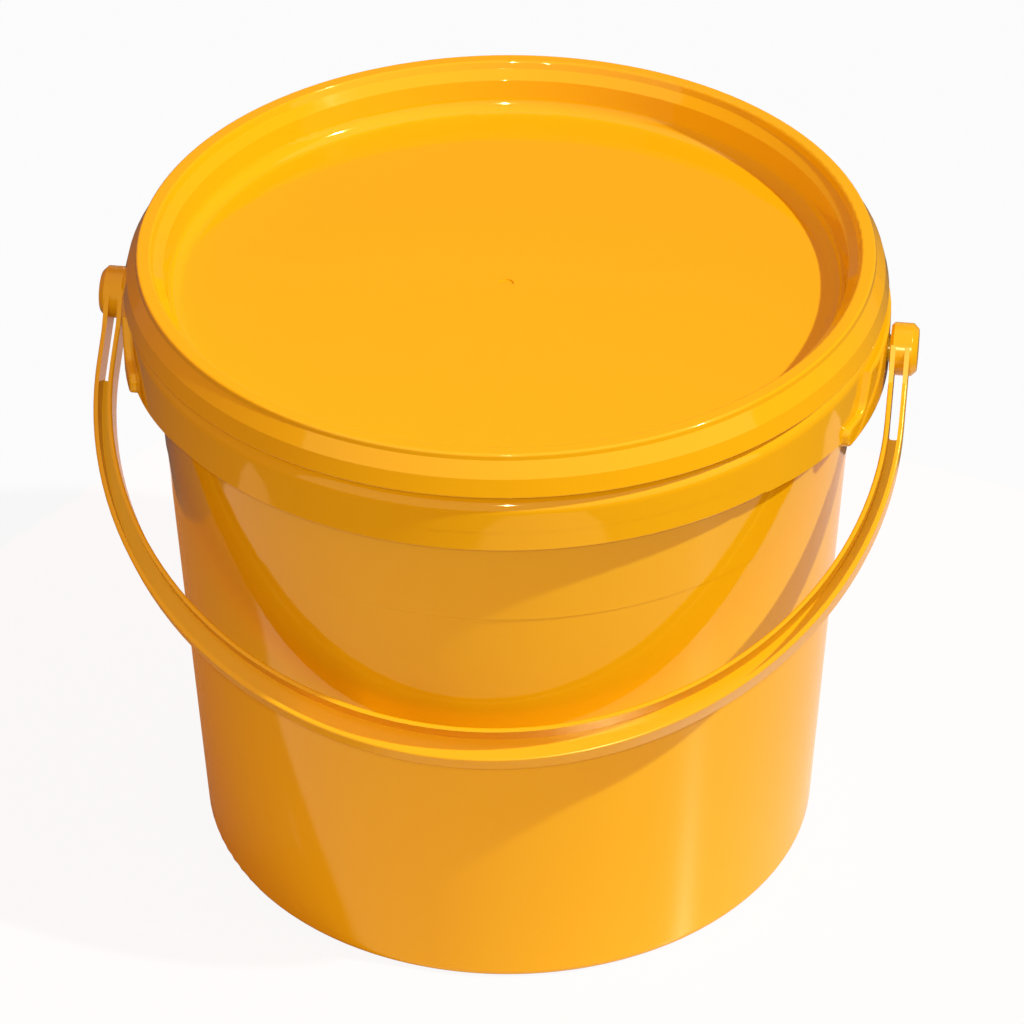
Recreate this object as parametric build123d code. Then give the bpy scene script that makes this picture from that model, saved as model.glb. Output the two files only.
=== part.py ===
from build123d import *
import os
from math import acos, atan2, cos, degrees, hypot, radians, sin, sqrt, tan

# Plastic honey bucket: a tapered pail, its snap lid and its bail handle.
# Millimetres. The origin is the centre of the base on the ground, +Z is up,
# the handle's pivots lie along X and the handle hangs on the -Y side.

# Pail wall and base
BASE_RADIUS = 95.3            # outside of the wall, carried down to the ground
WALL_TAPER = 2.86             # degrees, outwards going up
WALL = 1.7                    # thickness of the wall
BASE = 1.9                    # thickness of the base
BASE_CORNER = 3.2             # rounding between the wall and the base, outside
BASE_CORNER_INSIDE = 3.5      # rounding between the wall and the base, inside
FOOT_RING = 10.0              # width of the ring that the pail stands on, with its rounded corner
FOOT_SLOPE = 3.0              # width of the slope inside the foot ring
FOOT_LIFT = 1.8               # height of the base panel above the ground
FOOT_ROUND = 0.8              # rounding of the slope's edges
GATE_RADIUS = 2.5             # moulding pip under the middle of the base
GATE_HEIGHT = 0.5
LINE_HEIGHT = 141.1           # fine step round the wall
LINE_STEP = 0.3               # how far the wall stands out above that step

# Rim and neck, covered by the lid
RIM_TOP = 199.2               # height of the rim above the ground
RIM_BEAD = 0.7                # how far the rim stands out from the neck
RIM_LEAN = 0.9                # how far the rim's inner edge leans outwards
RIM_HEIGHT = 4.0              # height of the thickened, leaning part
RIM_ROUND = 0.5
NECK_STEP = 1.2               # how far the neck stands out from the wall
NECK_WALL = 1.8
SHOULDER_RISE = 3.0           # height of the inside slope below the neck
SNAP_RING = 2.6               # how far the snap ring stands out from the neck
SNAP_RING_DROP = 6.7          # rim down to the middle of the snap ring
SNAP_RING_FLAT = 1.2          # flat on the snap ring
SNAP_RING_SLOPE = 1.6         # height of each slope of the snap ring
SOFT_EDGE = 0.4               # small rounding of moulded edges

# Collar: a ledge with a skirt that hangs from it
COLLAR_DROP = 14.9            # rim down to the top of the ledge
COLLAR_THICK = 1.7
LEDGE_WIDTH = 5.7             # neck out to the skirt's lower edge
LEDGE_ROUND = 2.6
SKIRT_DROP = 12.5             # ledge down to the skirt's lower edge
SKIRT_DRAFT = 0.5             # how much smaller the skirt is at the ledge
SKIRT_WALL = 1.5
COLLAR_ROOT = 1.0             # rounding under the ledge

# Gusset ribs between the wall and the skirt
RIB_COUNT = 18
RIB_THICK = 1.3
RIB_RISE = 2.0                # the ribs' lower edge above the skirt's

# Ears that carry the handle
EAR_PROUD = 1.8               # how far an ear stands out from the skirt
EAR_WALL = 1.6
EAR_DROP = 17.4               # ledge down to the ear's lower edge
EAR_WIDTH_TOP = 55.0          # at the ledge
EAR_WIDTH_WAIST = 64.0        # above the lobes
EAR_WIDTH_LOBES = 85.0        # over the lobes at the bottom
EAR_LOBE = 6.6                # height of the lobes
EAR_LOBE_ROUND = 2.7          # rounding of the lobes' ends
EAR_WAIST_ROUND = 4.5         # rounding where the flanks run out into the lobes
EAR_EDGE = 0.9                # rounding round an ear's outer face
APRON_WIDTH = 146.0           # deeper part of the skirt on either side of an ear
APRON_DROP = 2.4              # how much deeper the skirt is beside the lobes
PIVOT_DROP = 9.7              # ledge down to the pivots
BOSS_WALL = 2.5               # thickness of the boss round a bore
BOSS_LENGTH = 3.6             # length of a bore, from the ear's outer face inwards

# Lid
LID_WALL = 1.5
LID_CROWN = 2.6               # thickness over the rim
LID_RECESS = 14.4             # top of the lid down to its panel
LID_PANEL_ROUND = 4.5         # rounding between the panel and the plug wall
LID_PLUG_DRAFT = 1.5          # how far the plug wall leans
LID_STEP_WIDTH = 2.8          # sloped step inside the stacking bead
LID_STEP_RISE = 2.5
LID_BEAD_WALL = 1.4           # thickness inside the stacking bead
LID_BEAD_RISE = 2.3           # height of the bead above the step
LID_BEAD_FALL = 1.75          # height of the bead above the sloped outer face
LID_BEAD_LEAN_IN = 0.85       # lean of the bead's inner face
LID_BEAD_LEAN_OUT = 0.3       # lean of the bead's outer face
LID_BEAD_ROUND = 0.8
LID_SLOPE_WIDTH = 2.75        # sloped outer face
LID_SLOPE_FALL = 4.4
LID_SKIRT_FLARE = 1.4         # outer skirt
LID_SKIRT_FALL = 5.6
LID_CHANNEL_DEPTH = 2.0       # upright part of the channel's inner face
LID_CHANNEL_FLARE = 0.75
LID_SNAP_HEIGHT = 1.4         # height of the bead that snaps under the ring
LID_SNAP_SLOPE = 1.0
LID_GATE_RADIUS = 2.2         # moulding mark in the middle of the panel
LID_GATE_DEPTH = 0.35

# Bail handle, drawn flat: across the pivots, and away from them
HANDLE_DEPTH = 9.0            # height of the flanges, square to the handle's plane
HANDLE_ARM = 5.5              # width of an arm
HANDLE_GRIP = 10.0            # width of the bow in the middle
HANDLE_STRAIGHT = 24.5        # straight part of an arm beside the pivot
HANDLE_FLANGE = 1.4
HANDLE_WEB = 1.8
HANDLE_EDGE = 0.5             # rounding along the bow
HANDLE_SLOT = 27.5            # pivots to the far end of the slot in an arm
SLOT_ROUND = 0.9              # rounding at the far end of the slot
HUB_RADIUS = 7.8
HUB_LENGTH = 8.0
HUB_CHAMFER = 1.6             # round the hub's outer end
HUB_BEVEL = 0.9               # round the hub's inner end
FIN_START = 1.9               # pivots to the tip of a fin on the hub
FIN_END = 14.0                # pivots to the end of a fin on the arm
STUD_RADIUS = 4.0
STUD_HEAD = 1.1               # how far the snap head stands out from the stud
STUD_HEAD_LENGTH = 2.6
STUD_HEAD_FLAT = 0.6          # full-width part of the snap head
STUD_SLIT = 1.3
STUD_ROOT = 1.5               # unslit length of the stud beside the hub

# Clearances
BORE_CLEARANCE = 0.08         # stud in bore, on the radius
HUB_CLEARANCE = 0.5           # hub to ear
HEAD_CLEARANCE = 0.4          # snap head to boss
ARM_CLEARANCE = 0.8           # arm to ear
RIM_CLEARANCE = 0.3           # lid above the rim
RIM_SIDE_CLEARANCE = 0.35     # lid beside the rim
SNAP_CLEARANCE = 0.5          # the lid's snap bead past the snap ring
OVER_CLEARANCE = 10.9         # grip over the lid's edge
REST_CLEARANCE = 0.3          # hanging grip to wall


def wall_radius(height):
    """Outside radius of the tapered wall, below the fine step."""
    return BASE_RADIUS + height * taper


def turned(profile):
    """Solid of revolution about Z from (radius, height, corner rounding) triples."""
    corners = [(radius, height) for radius, height, _ in profile]
    rounds = [rounding for _, _, rounding in profile]
    outline = FilletPolyline(*corners, radius=rounds, close=True)
    return revolve(Plane.XZ * make_face(outline), axis=Axis.Z)


# Heights that follow from the rim
taper = tan(radians(WALL_TAPER))
collar_top = RIM_TOP - COLLAR_DROP
collar_under = collar_top - COLLAR_THICK
skirt_bottom = collar_top - SKIRT_DROP
rib_bottom = skirt_bottom + RIB_RISE
ear_bottom = collar_top - EAR_DROP
pivot_height = collar_top - PIVOT_DROP
snap_middle = RIM_TOP - SNAP_RING_DROP
snap_low = snap_middle - SNAP_RING_FLAT / 2
snap_high = snap_middle + SNAP_RING_FLAT / 2

# Radii that follow from the wall
foot_inner = BASE_RADIUS - FOOT_RING
neck_outside = wall_radius(collar_top) + NECK_STEP
neck_inside = neck_outside - NECK_WALL
rim_outside = neck_outside + RIM_BEAD
rim_inside = neck_inside + RIM_LEAN
snap_radius = neck_outside + SNAP_RING
skirt_outside = neck_outside + LEDGE_WIDTH
skirt_inside = skirt_outside - SKIRT_WALL
ear_outside = skirt_outside + EAR_PROUD
ear_inside = ear_outside - EAR_WALL
bore_radius = STUD_RADIUS + BORE_CLEARANCE
boss_face = ear_outside - BOSS_LENGTH

# Lid sizes that follow from the rim it fits
channel_top = RIM_TOP + RIM_CLEARANCE
channel_inner = rim_inside - RIM_SIDE_CLEARANCE
channel_outer = rim_outside + RIM_SIDE_CLEARANCE
lid_top = channel_top + LID_CROWN
lid_panel = lid_top - LID_RECESS
step_outer = channel_inner - LID_BEAD_WALL
step_inner = step_outer - LID_STEP_WIDTH
step_high = lid_top - LID_BEAD_RISE
step_low = step_high - LID_STEP_RISE
crease_radius = channel_outer + LID_WALL
crease_height = lid_top - LID_BEAD_FALL
slope_radius = crease_radius + LID_SLOPE_WIDTH
slope_height = crease_height - LID_SLOPE_FALL
lid_radius = slope_radius + LID_SKIRT_FLARE
lid_bottom = slope_height - LID_SKIRT_FALL

# Handle sizes that follow from the ears and the lid it passes over
arm_inner = ear_outside + ARM_CLEARANCE
arm_outer = arm_inner + HANDLE_ARM
grip_inner = hypot(lid_radius, lid_top - pivot_height) + OVER_CLEARANCE
grip_outer = grip_inner + HANDLE_GRIP
hub_inner = ear_outside + HUB_CLEARANCE
hub_outer = hub_inner + HUB_LENGTH


def bucket_shell():
    """Base, wall, shoulder, neck, rim, ledge and skirt as one turned shell."""
    base_panel = FOOT_LIFT + BASE
    line_radius = wall_radius(LINE_HEIGHT)
    wall_top = wall_radius(collar_under) + LINE_STEP
    rim_low = RIM_TOP - RIM_HEIGHT
    return turned([
        (0, FOOT_LIFT - GATE_HEIGHT, 0),
        (GATE_RADIUS, FOOT_LIFT - GATE_HEIGHT, 0),
        (GATE_RADIUS, FOOT_LIFT, 0),
        (foot_inner - FOOT_SLOPE, FOOT_LIFT, FOOT_ROUND),
        (foot_inner, 0, FOOT_ROUND),
        (BASE_RADIUS, 0, BASE_CORNER),
        (line_radius, LINE_HEIGHT, 0),
        (line_radius + LINE_STEP, LINE_HEIGHT + LINE_STEP, 0),
        (wall_top, collar_under, COLLAR_ROOT),
        (skirt_inside - SKIRT_DRAFT, collar_under, COLLAR_ROOT),
        (skirt_inside, skirt_bottom, 0),
        (skirt_outside, skirt_bottom, SOFT_EDGE),
        (skirt_outside - SKIRT_DRAFT, collar_top, LEDGE_ROUND),
        (neck_outside, collar_top, SOFT_EDGE),
        (neck_outside, snap_low - SNAP_RING_SLOPE, SOFT_EDGE),
        (snap_radius, snap_low, SOFT_EDGE),
        (snap_radius, snap_high, SOFT_EDGE),
        (neck_outside, snap_high + SNAP_RING_SLOPE, 0),
        (rim_outside, snap_high + SNAP_RING_SLOPE + RIM_BEAD, 0),
        (rim_outside, RIM_TOP, RIM_ROUND),
        (rim_inside, RIM_TOP, RIM_ROUND),
        (neck_inside, rim_low, 0),
        (neck_inside, collar_under + SHOULDER_RISE, COLLAR_ROOT),
        (wall_top - WALL, collar_under, COLLAR_ROOT),
        (line_radius - WALL, LINE_HEIGHT, 0),
        (wall_radius(BASE) - WALL, BASE, BASE_CORNER_INSIDE),
        (foot_inner, BASE, FOOT_ROUND),
        (foot_inner - FOOT_SLOPE, base_panel, FOOT_ROUND),
        (0, base_panel, 0),
    ])


def outward(outline):
    """Prism along +X from an outline drawn in Y and Z, long enough to pass the ear."""
    return extrude(Plane.YZ * make_face(outline), amount=2 * ear_outside)


def band(inner, outer, low, high):
    """Plain ring about Z."""
    return turned([(inner, low, 0), (outer, low, 0), (outer, high, 0), (inner, high, 0)])


def ear_block():
    """Solid ear at +X: a bell-shaped shield that follows the collar, with a rounded face."""
    top = EAR_WIDTH_TOP / 2
    waist = EAR_WIDTH_WAIST / 2
    lobes = EAR_WIDTH_LOBES / 2
    lobe_top = ear_bottom + EAR_LOBE
    shield = FilletPolyline(
        (-top, collar_top), (-waist, lobe_top), (-lobes, lobe_top), (-lobes, ear_bottom),
        (lobes, ear_bottom), (lobes, lobe_top), (waist, lobe_top), (top, collar_top),
        radius=[
            0, EAR_WAIST_ROUND, EAR_LOBE_ROUND, EAR_LOBE_ROUND,
            EAR_LOBE_ROUND, EAR_LOBE_ROUND, EAR_WAIST_ROUND, 0,
        ],
        close=True,
    )
    block = outward(shield) & band(skirt_inside, ear_outside, ear_bottom, collar_top)
    face = block.faces().sort_by(Axis.X)[-1]
    return fillet(face.edges(), EAR_EDGE)


def apron():
    """Deeper skirt round the ear at +X, sloping down from either side to the lobes."""
    side = APRON_WIDTH / 2
    lobes = EAR_WIDTH_LOBES / 2
    low = skirt_bottom - APRON_DROP
    high = skirt_bottom + SOFT_EDGE
    outline = Polyline(
        (-side, high), (-side, skirt_bottom), (-lobes, low), (lobes, low), (side, skirt_bottom), (side, high),
        close=True,
    )
    outer_lean = SKIRT_DRAFT / SKIRT_DROP
    inner_lean = SKIRT_DRAFT / (SKIRT_DROP - COLLAR_THICK)
    ring = turned([
        (skirt_inside + inner_lean * APRON_DROP, low, 0),
        (skirt_outside + outer_lean * APRON_DROP, low, 0),
        (skirt_outside - outer_lean * SOFT_EDGE, high, 0),
        (skirt_inside - inner_lean * SOFT_EDGE, high, 0),
    ])
    return outward(outline) & ring


def ear_hollow(margin):
    """Space behind the ear at +X, open below, grown by a margin into the walls round it."""
    inset = EAR_WALL - margin
    top = EAR_WIDTH_TOP / 2 - inset
    waist = EAR_WIDTH_WAIST / 2 - inset
    lobes = EAR_WIDTH_LOBES / 2 - inset
    lobe_top = ear_bottom + EAR_LOBE - inset
    ceiling = collar_under + margin
    below = ear_bottom - EAR_LOBE
    outline = Polyline(
        (-top, ceiling), (-waist, lobe_top), (-lobes, lobe_top), (-lobes, below),
        (lobes, below), (lobes, lobe_top), (waist, lobe_top), (top, ceiling),
        close=True,
    )
    inner = skirt_inside - SKIRT_DRAFT - COLLAR_ROOT
    return outward(outline) & band(inner, ear_inside + margin, below, ceiling)


def both_sides(solid):
    """The solid at +X together with its mirror image at -X."""
    return solid + mirror(solid, about=Plane.YZ)


def gusset_ribs():
    """Spokes between the wall and the skirt, trimmed to run halfway into the walls they join."""
    wall_bottom = wall_radius(rib_bottom) + LINE_STEP - WALL / 2
    wall_top = wall_radius(collar_under) + LINE_STEP - WALL / 2
    ledge_middle = collar_under + COLLAR_THICK / 2
    space = turned([
        (wall_bottom, rib_bottom, 0),
        (skirt_inside + SKIRT_WALL / 2, rib_bottom, 0),
        (skirt_inside - SKIRT_DRAFT + SKIRT_WALL / 2, ledge_middle, 0),
        (wall_top, ledge_middle, 0),
    ])
    space += both_sides(ear_hollow(EAR_WALL / 2))
    height = ledge_middle - rib_bottom
    spoke = Pos(0, 0, rib_bottom + height / 2) * Box(ear_outside, RIB_THICK, height)
    pitch = 360 / RIB_COUNT
    turns = [pitch * (index + 0.5) for index in range(RIB_COUNT)]
    spokes = [Rot(0, 0, turn) * Pos(ear_outside / 2, 0, 0) * spoke for turn in turns]
    return spokes[0].fuse(*spokes[1:]) & space


def along_x(radius, start, end):
    """Round bar along +X on the pivots' line."""
    place = Plane(origin=(start, 0, pivot_height), x_dir=(0, 1, 0), z_dir=(1, 0, 0))
    return extrude(place * Circle(radius), amount=end - start)


def bucket():
    """The pail as one moulding."""
    body = bucket_shell() + both_sides(apron() + ear_block())
    body -= both_sides(ear_hollow(0))
    body += gusset_ribs()
    body += both_sides(along_x(bore_radius + BOSS_WALL, boss_face, ear_outside - EAR_WALL / 2))
    return body - both_sides(along_x(bore_radius, skirt_inside - BOSS_LENGTH, hub_outer))


def lid():
    """The lid as one turned moulding."""
    panel_under = lid_panel - LID_WALL
    plug_inner = step_inner - LID_PLUG_DRAFT
    snap_inner = snap_radius + SNAP_CLEARANCE
    snap_top = lid_bottom + LID_SNAP_HEIGHT
    skirt_share = (LID_SNAP_HEIGHT + LID_SNAP_SLOPE) / LID_SKIRT_FALL
    snap_outer = lid_radius - skirt_share * LID_SKIRT_FLARE - LID_WALL
    return turned([
        (0, lid_panel - LID_GATE_DEPTH, 0),
        (LID_GATE_RADIUS, lid_panel - LID_GATE_DEPTH, 0),
        (LID_GATE_RADIUS, lid_panel, 0),
        (plug_inner, lid_panel, LID_PANEL_ROUND),
        (step_inner, step_low, SOFT_EDGE),
        (step_outer, step_high, SOFT_EDGE),
        (step_outer + LID_BEAD_LEAN_IN, lid_top, LID_BEAD_ROUND),
        (crease_radius - LID_BEAD_LEAN_OUT, lid_top, LID_BEAD_ROUND),
        (crease_radius, crease_height, SOFT_EDGE),
        (slope_radius, slope_height, SOFT_EDGE),
        (lid_radius, lid_bottom, SOFT_EDGE),
        (snap_inner, lid_bottom, SOFT_EDGE),
        (snap_inner, snap_top, SOFT_EDGE),
        (snap_outer, snap_top + LID_SNAP_SLOPE, SOFT_EDGE),
        (slope_radius - LID_WALL, slope_height - LID_WALL / 2, 0),
        (channel_outer, channel_top, 0),
        (channel_inner, channel_top, 0),
        (channel_inner - LID_CHANNEL_FLARE, channel_top - LID_CHANNEL_DEPTH, 0),
        (step_inner + LID_WALL, step_low - LID_WALL, 0),
        (plug_inner + LID_WALL, panel_under, LID_PANEL_ROUND + LID_WALL),
        (0, panel_under, 0),
    ])


def bow(half_width, reach):
    """Face of a U: straight beside the pivots, then half an ellipse, drawn towards -Y."""
    sides = Polyline(
        (-half_width, -HANDLE_STRAIGHT), (-half_width, 0), (half_width, 0), (half_width, -HANDLE_STRAIGHT)
    )
    bend = EllipticalCenterArc(
        (0, -HANDLE_STRAIGHT), half_width, reach - HANDLE_STRAIGHT, start_angle=180, arc_size=180
    )
    return make_face(sides + bend)


def pivot():
    """Hub, stud and snap head at +X, turned about the pivots' line."""
    head_outer = boss_face - HEAD_CLEARANCE
    head_inner = head_outer - STUD_HEAD_LENGTH
    head_radius = STUD_RADIUS + STUD_HEAD
    post = turned([
        (0, head_inner, 0),
        (STUD_RADIUS - STUD_HEAD / 2, head_inner, 0),
        (head_radius, head_outer - STUD_HEAD_FLAT, 0),
        (head_radius, head_outer, 0),
        (STUD_RADIUS, head_outer, 0),
        (STUD_RADIUS, hub_inner, 0),
        (HUB_RADIUS - HUB_BEVEL, hub_inner, 0),
        (HUB_RADIUS, hub_inner + HUB_BEVEL, 0),
        (HUB_RADIUS, hub_outer - HUB_CHAMFER, SOFT_EDGE),
        (HUB_RADIUS - HUB_CHAMFER, hub_outer, SOFT_EDGE),
        (0, hub_outer, 0),
    ])
    slit_length = hub_inner - STUD_ROOT - head_inner
    slit = Pos(0, 0, head_inner + slit_length / 2) * Box(STUD_SLIT, 2 * HUB_RADIUS, slit_length)
    return Rot(0, 90, 0) * (post - slit)


def hub_fins():
    """Fins at +X that carry the strips of an arm up over the front of the hub."""
    tip = sqrt(HUB_RADIUS**2 - FIN_START**2)
    foot = HANDLE_DEPTH / 2 - HANDLE_EDGE
    outline = Polyline((-FIN_START, 0), (-FIN_START, tip), (-FIN_END, foot), (-FIN_END, 0), close=True)
    fin = extrude(Plane.YZ * make_face(outline), amount=HANDLE_FLANGE)
    return Pos(arm_inner, 0, 0) * fin + Pos(arm_outer - HANDLE_FLANGE, 0, 0) * fin


def arm_slots(channel):
    """Slots that split both arms into two strips each, rounded at their far ends."""
    window = Pos(0, -HANDLE_SLOT / 2, 0) * Rectangle(4 * arm_outer, HANDLE_SLOT)
    slots = extrude(channel & window, amount=HANDLE_DEPTH, both=True)
    corners = slots.edges().filter_by(Axis.Z).group_by(Axis.Y)[0]
    return fillet(corners, SLOT_ROUND)


def hang_angle():
    """Degrees below level at which the grip's inner corner comes to rest on the wall."""
    along = grip_inner + taper * HANDLE_DEPTH / 2
    across = taper * grip_inner - HANDLE_DEPTH / 2
    wall = wall_radius(pivot_height) + REST_CLEARANCE
    return degrees(atan2(across, along) + acos(wall / hypot(along, across)))


def bail_handle():
    """The handle as one moulding, hanging on the wall."""
    outer_rim = bow(arm_outer, grip_outer)
    inner_rim = bow(arm_inner, grip_inner)
    blank = extrude(outer_rim - inner_rim, amount=HANDLE_DEPTH / 2, both=True)
    long_edges = blank.edges().filter_by(lambda edge: abs(edge.center().Z) > HANDLE_DEPTH / 4)
    long_edges = long_edges.filter_by(lambda edge: edge.bounding_box().min.Y < -SOFT_EDGE)
    blank = fillet(long_edges, HANDLE_EDGE)
    channel = bow(arm_outer - HANDLE_FLANGE, grip_outer - HANDLE_FLANGE)
    channel -= bow(arm_inner + HANDLE_FLANGE, grip_inner + HANDLE_FLANGE)
    blank -= Pos(0, 0, HANDLE_WEB - HANDLE_DEPTH / 2) * extrude(channel, amount=HANDLE_DEPTH)
    blank -= arm_slots(channel)
    flat = blank + both_sides(pivot() + hub_fins())
    tilt = radians(hang_angle())
    hang = Plane(origin=(0, 0, pivot_height), x_dir=(1, 0, 0), z_dir=(0, -sin(tilt), cos(tilt)))
    return hang * flat


os.makedirs("parts", exist_ok=True)
for name, make in {"bucket_body": bucket, "lid": lid, "bail_handle": bail_handle}.items():
    piece = make()
    export_step(piece, f"parts/{name}.step")
print(f"handle hangs {hang_angle():.2f} degrees below level, pivots at {pivot_height:.2f} mm")
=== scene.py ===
from math import cos, radians, sin

import bpy
from mathutils import Matrix, Vector


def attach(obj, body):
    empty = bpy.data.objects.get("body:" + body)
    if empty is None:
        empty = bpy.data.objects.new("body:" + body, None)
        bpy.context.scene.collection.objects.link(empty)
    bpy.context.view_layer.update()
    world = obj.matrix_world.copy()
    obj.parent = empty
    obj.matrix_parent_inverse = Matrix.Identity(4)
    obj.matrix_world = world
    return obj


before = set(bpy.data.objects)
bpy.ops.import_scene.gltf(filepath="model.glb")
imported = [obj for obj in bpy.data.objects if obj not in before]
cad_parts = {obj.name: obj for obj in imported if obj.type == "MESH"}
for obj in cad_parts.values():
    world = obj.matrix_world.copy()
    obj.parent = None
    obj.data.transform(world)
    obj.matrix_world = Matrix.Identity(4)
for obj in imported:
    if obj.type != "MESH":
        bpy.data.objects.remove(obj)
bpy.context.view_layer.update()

# Yellow plastic honey bucket with lid and bail handle, in metres, +Z up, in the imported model's frame

# Camera, as the photograph was taken
CAMERA_PLACE = Vector((0.1611, -1.1226, 0.9283))
CAMERA_AIM = Vector((0.0013, 0.0002, 0.1044))
CAMERA_ROLL = -0.34            # degrees
CAMERA_LENS = 161.7            # mm, on a sensor of SENSOR mm
SENSOR = 36.0

# Light
KEY_AZIMUTH = 81.0             # degrees from the front towards +X
KEY_ELEVATION = 50.0           # degrees above the horizon
KEY_STRENGTH = 2.5
KEY_SOFTNESS = 2.0             # degrees across
FILL_AZIMUTH = 188.0           # opposite the camera
FILL_ELEVATION = 5.0
FILL_STRENGTH = 1.2
FILL_SOFTNESS = 20.0
SKY_STRENGTH = 0.6
SKY_COLOUR = (1.0, 0.34, 0.08)  # warm, for light that comes through the plastic
SPARK_STRENGTH = 6.0           # watts, small lamp beside the camera
SPARK_SIZE = 0.03              # across

# Floor
FLOOR_SIZE = 6.0
FLOOR_WHITE = 0.88
FLOOR_GLOSS = 0.18             # roughness
FLOOR_SHEEN = 0.35             # specular level
FLOOR_GLOW = 0.92              # share of the camera's white that no shadow darkens

# Pale sheet that the object mirrors, and the dark ground round it
SHEET = ((0.162, -0.486), (0.351, 0.116), (-0.095, 0.256), (-0.354, -0.176))  # corners
SURROUND_REACH = 12.0          # size of the dark ground, in sheets
SURROUND_LIFT = 0.0005         # above the floor
SURROUND_GREY = 0.1

# Dark screen that the object mirrors
SCREEN_DISTANCE = 1.6
SCREEN_HEIGHT = 2.4
SCREEN_LEFT = 130.0            # degrees from the back towards -X
SCREEN_RIGHT = 100.0           # degrees from the back towards +X
SCREEN_STEPS = 24
SCREEN_GREY = 0.2

# Plastic, with linear colours
AMBER = (0.83, 0.48, 0.004)
AMBER_DEEP = (0.82, 0.464, 0.004)
FLOW_SCALE = 6.0
FLOW_DETAIL = 4.0
GRAIN_SCALE = 420.0
GRAIN_DETAIL = 2.0
ROUGH_BODY = 0.06
ROUGH_HANDLE = 0.2
ROUGH_SPREAD = 0.02
PEEL_STRENGTH = 0.02
PEEL_DEPTH = 0.0003
PLASTIC_IOR = 1.49
PLASTIC_SPECULAR = 0.65
PLASTIC_SHEEN = (1.0, 0.9, 0.4)  # tint of straight reflections

# Rounded shoulder of the collar, close under the lid's edge
SHOULDER_TOP = 0.1885
SHOULDER_ROUND = 0.0049
SHOULDER_FACE = 0.1110         # outside, where the rounding begins
SHOULDER_LOW = 0.1780          # where it runs out on the skirt
SHOULDER_LOW_FACE = 0.1112
SHOULDER_SEAT = 0.1834         # inside the collar's ledge
SHOULDER_CORE = 0.1104         # inside the skirt's wall
NECK_RADIUS = 0.1056
ROUND_STEPS = 12
TURN_STEPS = 240
SHARP_ANGLE = 40.0             # degrees, corners above it stay sharp


def nodes_of(holder):
    """Makers of nodes and of links in the emptied node tree of a material or world."""
    holder.use_nodes = True
    tree = holder.node_tree
    tree.nodes.clear()

    def node(kind, **values):
        made = tree.nodes.new(kind)
        for name, value in values.items():
            if name in made.inputs:
                made.inputs[name].default_value = value
            else:
                setattr(made, name, value)
        return made

    def link(source, target):
        tree.links.new(source, target)

    return node, link


def colours_of(sockets):
    """The colour sockets among a node's inputs or outputs."""
    return [socket for socket in sockets if socket.type == "RGBA"]


def plastic(name, radial, rough):
    """Glossy moulded polypropylene with faint flow marks, radial where the gate is central."""
    material = bpy.data.materials.new(name)
    node, link = nodes_of(material)
    place = node("ShaderNodeTexCoord").outputs["Object"]
    along = place
    if radial:
        flat = node("ShaderNodeVectorMath", operation="MULTIPLY")
        flat.inputs[1].default_value = (1, 1, 0)
        link(place, flat.inputs[0])
        outward = node("ShaderNodeVectorMath", operation="NORMALIZE")
        link(flat.outputs["Vector"], outward.inputs[0])
        along = outward.outputs["Vector"]
    flow = node("ShaderNodeTexNoise", Scale=FLOW_SCALE, Detail=FLOW_DETAIL)
    link(along, flow.inputs["Vector"])
    tint = node("ShaderNodeMix", data_type="RGBA")
    for socket, colour in zip(colours_of(tint.inputs), (AMBER, AMBER_DEEP)):
        socket.default_value = (*colour, 1)
    link(flow.outputs["Fac"], tint.inputs["Factor"])
    grain = node("ShaderNodeTexNoise", Scale=GRAIN_SCALE, Detail=GRAIN_DETAIL)
    link(place, grain.inputs["Vector"])
    gloss = node("ShaderNodeMapRange")
    gloss.inputs["To Min"].default_value = rough - ROUGH_SPREAD
    gloss.inputs["To Max"].default_value = rough + ROUGH_SPREAD
    link(grain.outputs["Fac"], gloss.inputs["Value"])
    peel = node("ShaderNodeBump", Strength=PEEL_STRENGTH, Distance=PEEL_DEPTH)
    link(grain.outputs["Fac"], peel.inputs["Height"])
    shader = node("ShaderNodeBsdfPrincipled", IOR=PLASTIC_IOR)
    shader.inputs["Specular IOR Level"].default_value = PLASTIC_SPECULAR
    shader.inputs["Specular Tint"].default_value = (*PLASTIC_SHEEN, 1)
    link(colours_of(tint.outputs)[0], shader.inputs["Base Color"])
    link(gloss.outputs["Result"], shader.inputs["Roughness"])
    link(peel.outputs["Normal"], shader.inputs["Normal"])
    output = node("ShaderNodeOutputMaterial")
    link(shader.outputs["BSDF"], output.inputs["Surface"])
    return material


def dress(node_name, material):
    """Gives a CAD node its material in every slot."""
    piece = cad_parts[node_name]
    for slot in piece.material_slots:
        slot.material = material
    return piece


def built(name, points, faces, material):
    """A new mesh object in the scene."""
    mesh = bpy.data.meshes.new(name)
    mesh.from_pydata(points, [], faces)
    mesh.materials.append(material)
    piece = bpy.data.objects.new(name, mesh)
    bpy.context.scene.collection.objects.link(piece)
    return piece


def shoulder_profile():
    """Closed outline of the shoulder's section, as radii and heights."""
    profile = [(SHOULDER_LOW_FACE, SHOULDER_LOW)]
    for step in range(ROUND_STEPS + 1):
        tilt = radians(90 * step / ROUND_STEPS)
        radius = SHOULDER_FACE - SHOULDER_ROUND + SHOULDER_ROUND * cos(tilt)
        height = SHOULDER_TOP - SHOULDER_ROUND + SHOULDER_ROUND * sin(tilt)
        profile.append((radius, height))
    profile += [(NECK_RADIUS, SHOULDER_TOP), (NECK_RADIUS, SHOULDER_SEAT)]
    profile += [(SHOULDER_CORE, SHOULDER_SEAT), (SHOULDER_CORE, SHOULDER_LOW)]
    return profile


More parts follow.
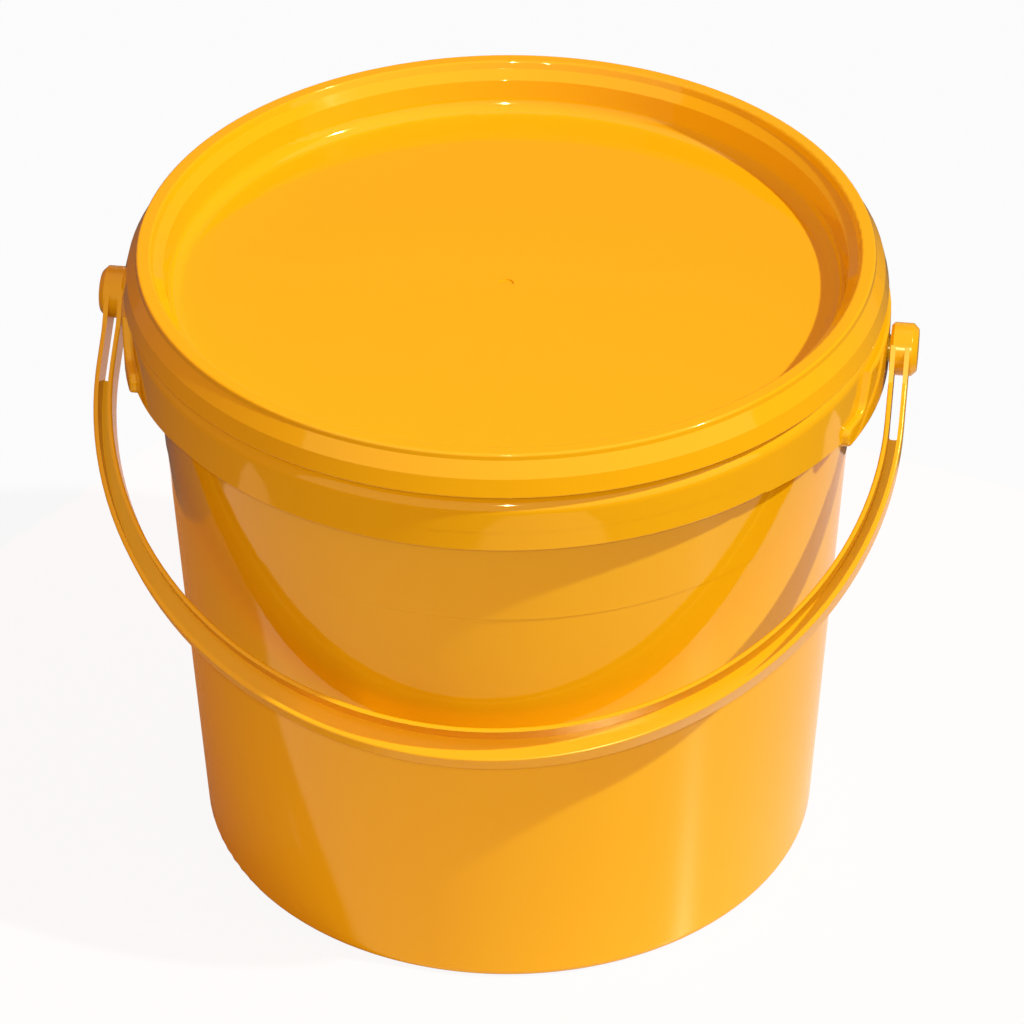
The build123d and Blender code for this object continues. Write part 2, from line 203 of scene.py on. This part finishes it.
def shoulder(material):
    """Closed ring that rounds off the top of the collar."""
    profile = shoulder_profile()
    count = len(profile)
    points = []
    faces = []
    for step in range(TURN_STEPS):
        turn = radians(360 * step / TURN_STEPS)
        points += [(radius * cos(turn), radius * sin(turn), height) for radius, height in profile]
        here = step * count
        there = (step + 1) % TURN_STEPS * count
        for k in range(count):
            after = (k + 1) % count
            faces.append((here + k, there + k, there + after, here + after))
    piece = built("collar_shoulder", points, faces, material)
    for polygon in piece.data.polygons:
        polygon.use_smooth = True
    piece.data.set_sharp_from_angle(angle=radians(SHARP_ANGLE))
    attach(piece, "pail")


def backdrop():
    """White world for the camera and for reflections, soft sky light for the rest."""
    world = bpy.data.worlds.new("white_studio")
    bpy.context.scene.world = world
    node, link = nodes_of(world)
    ray = node("ShaderNodeLightPath")
    seen = node("ShaderNodeMath", operation="MAXIMUM")
    link(ray.outputs["Is Camera Ray"], seen.inputs[0])
    link(ray.outputs["Is Glossy Ray"], seen.inputs[1])
    seen_through = node("ShaderNodeMath", operation="MAXIMUM")
    link(seen.outputs["Value"], seen_through.inputs[0])
    link(ray.outputs["Is Transmission Ray"], seen_through.inputs[1])
    sky = node("ShaderNodeBackground", Strength=SKY_STRENGTH)
    sky.inputs["Color"].default_value = (*SKY_COLOUR, 1)
    white = node("ShaderNodeBackground", Strength=1.0)
    white.inputs["Color"].default_value = (1, 1, 1, 1)
    mix = node("ShaderNodeMixShader")
    link(seen_through.outputs["Value"], mix.inputs["Fac"])
    link(sky.outputs["Background"], mix.inputs[1])
    link(white.outputs["Background"], mix.inputs[2])
    output = node("ShaderNodeOutputWorld")
    link(mix.outputs["Shader"], output.inputs["Surface"])


def staged(name, points, faces, material):
    """A piece of the studio, which isn't part of the object."""
    piece = built(name, points, faces, material)
    return piece


def glowing(name, grey):
    """Plain grey that shines by itself, so that no lamp changes it."""
    material = bpy.data.materials.new(name)
    node, link = nodes_of(material)
    light = node("ShaderNodeEmission", Strength=grey)
    output = node("ShaderNodeOutputMaterial")
    link(light.outputs["Emission"], output.inputs["Surface"])
    return material


def floor():
    """Pale floor that keeps the object's shadow and is nearly white to the camera."""
    material = bpy.data.materials.new("floor_white")
    node, link = nodes_of(material)
    ray = node("ShaderNodeLightPath")
    pale = node("ShaderNodeBsdfPrincipled", Roughness=FLOOR_GLOSS)
    pale.inputs["Specular IOR Level"].default_value = FLOOR_SHEEN
    pale.inputs["Base Color"].default_value = (FLOOR_WHITE, FLOOR_WHITE, FLOOR_WHITE, 1)
    white = node("ShaderNodeEmission", Strength=1.0)
    share = node("ShaderNodeMath", operation="MULTIPLY")
    share.inputs[1].default_value = FLOOR_GLOW
    link(ray.outputs["Is Camera Ray"], share.inputs[0])
    mix = node("ShaderNodeMixShader")
    link(share.outputs["Value"], mix.inputs["Fac"])
    link(pale.outputs["BSDF"], mix.inputs[1])
    link(white.outputs["Emission"], mix.inputs[2])
    output = node("ShaderNodeOutputMaterial")
    link(mix.outputs["Shader"], output.inputs["Surface"])
    half = FLOOR_SIZE / 2
    corners = [(-half, -half, 0), (half, -half, 0), (half, half, 0), (-half, half, 0)]
    return staged("floor", corners, [(0, 1, 2, 3)], material)


def surround():
    """Dark ground round the sheet that the object stands on, which the camera doesn't see."""
    points = []
    for reach in (1.0, SURROUND_REACH):
        points += [(reach * x, reach * y, SURROUND_LIFT) for x, y in SHEET]
    count = len(SHEET)
    faces = [(k, (k + 1) % count, count + (k + 1) % count, count + k) for k in range(count)]
    piece = staged("surround", points, faces, glowing("surround_grey", SURROUND_GREY))
    piece.visible_camera = False
    piece.visible_shadow = False


def screen():
    """Dark studio screen behind and to the left of the object, which only reflections show."""
    points = []
    for step in range(SCREEN_STEPS + 1):
        turn = radians(-SCREEN_LEFT + (SCREEN_LEFT + SCREEN_RIGHT) * step / SCREEN_STEPS)
        for height in (0.0, SCREEN_HEIGHT):
            points.append((SCREEN_DISTANCE * sin(turn), SCREEN_DISTANCE * cos(turn), height))
    faces = [(2 * k, 2 * k + 2, 2 * k + 3, 2 * k + 1) for k in range(SCREEN_STEPS)]
    piece = staged("screen", points, faces, glowing("screen_grey", SCREEN_GREY))
    piece.visible_camera = False
    piece.visible_diffuse = False
    piece.visible_shadow = False


def aimed(place, aim, roll=0.0):
    """Matrix that puts a lamp or camera at place, looking at aim."""
    turn = (aim - place).to_track_quat("-Z", "Y").to_matrix().to_4x4()
    return Matrix.Translation(place) @ turn @ Matrix.Rotation(radians(roll), 4, "Z")


def hung(light, place):
    """A lamp in the scene at place, aimed at the origin."""
    lamp = bpy.data.objects.new(light.name, light)
    lamp.matrix_world = aimed(place, Vector())
    bpy.context.scene.collection.objects.link(lamp)
    return lamp


def sun(name, azimuth, elevation, strength, softness):
    """A sun-like lamp, with its angles in degrees."""
    light = bpy.data.lights.new(name, "SUN")
    light.energy = strength
    light.angle = radians(softness)
    turn = radians(azimuth)
    level = cos(radians(elevation))
    return hung(light, Vector((sin(turn) * level, -cos(turn) * level, sin(radians(elevation)))))


def lamps(unlit):
    """Key light from the right, fill from behind, and a lamp beside the camera that spares one piece."""
    sun("key", KEY_AZIMUTH, KEY_ELEVATION, KEY_STRENGTH, KEY_SOFTNESS)
    fill = sun("fill", FILL_AZIMUTH, FILL_ELEVATION, FILL_STRENGTH, FILL_SOFTNESS)
    fill.visible_glossy = False
    spark = bpy.data.lights.new("spark", "AREA")
    spark.shape = "DISK"
    spark.size = SPARK_SIZE
    spark.energy = SPARK_STRENGTH
    lamp = hung(spark, CAMERA_PLACE + Vector((0, 0, SPARK_SIZE)))
    spared = bpy.data.collections.new("spared_by_spark")
    spared.objects.link(unlit)
    spared.collection_objects[0].light_linking.link_state = "EXCLUDE"
    lamp.light_linking.receiver_collection = spared


def camera():
    """The photograph's view."""
    data = bpy.data.cameras.new("camera")
    data.sensor_width = SENSOR
    data.lens = CAMERA_LENS
    piece = bpy.data.objects.new("camera", data)
    piece.matrix_world = aimed(CAMERA_PLACE, CAMERA_AIM, CAMERA_ROLL)
    bpy.context.scene.collection.objects.link(piece)
    bpy.context.scene.camera = piece


bpy.context.scene.view_settings.view_transform = "Standard"
for node_name, slot_name, radial, rough in (
    ("bucket_body", "bucket_plastic", True, ROUGH_BODY),
    ("lid", "lid_plastic", True, ROUGH_BODY),
    ("bail_handle", "handle_plastic", False, ROUGH_HANDLE),
):
    dress(node_name, plastic(slot_name, radial, rough))
shoulder(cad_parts["bucket_body"].material_slots[0].material)
backdrop()
ground = floor()
surround()
screen()
lamps(ground)
camera()
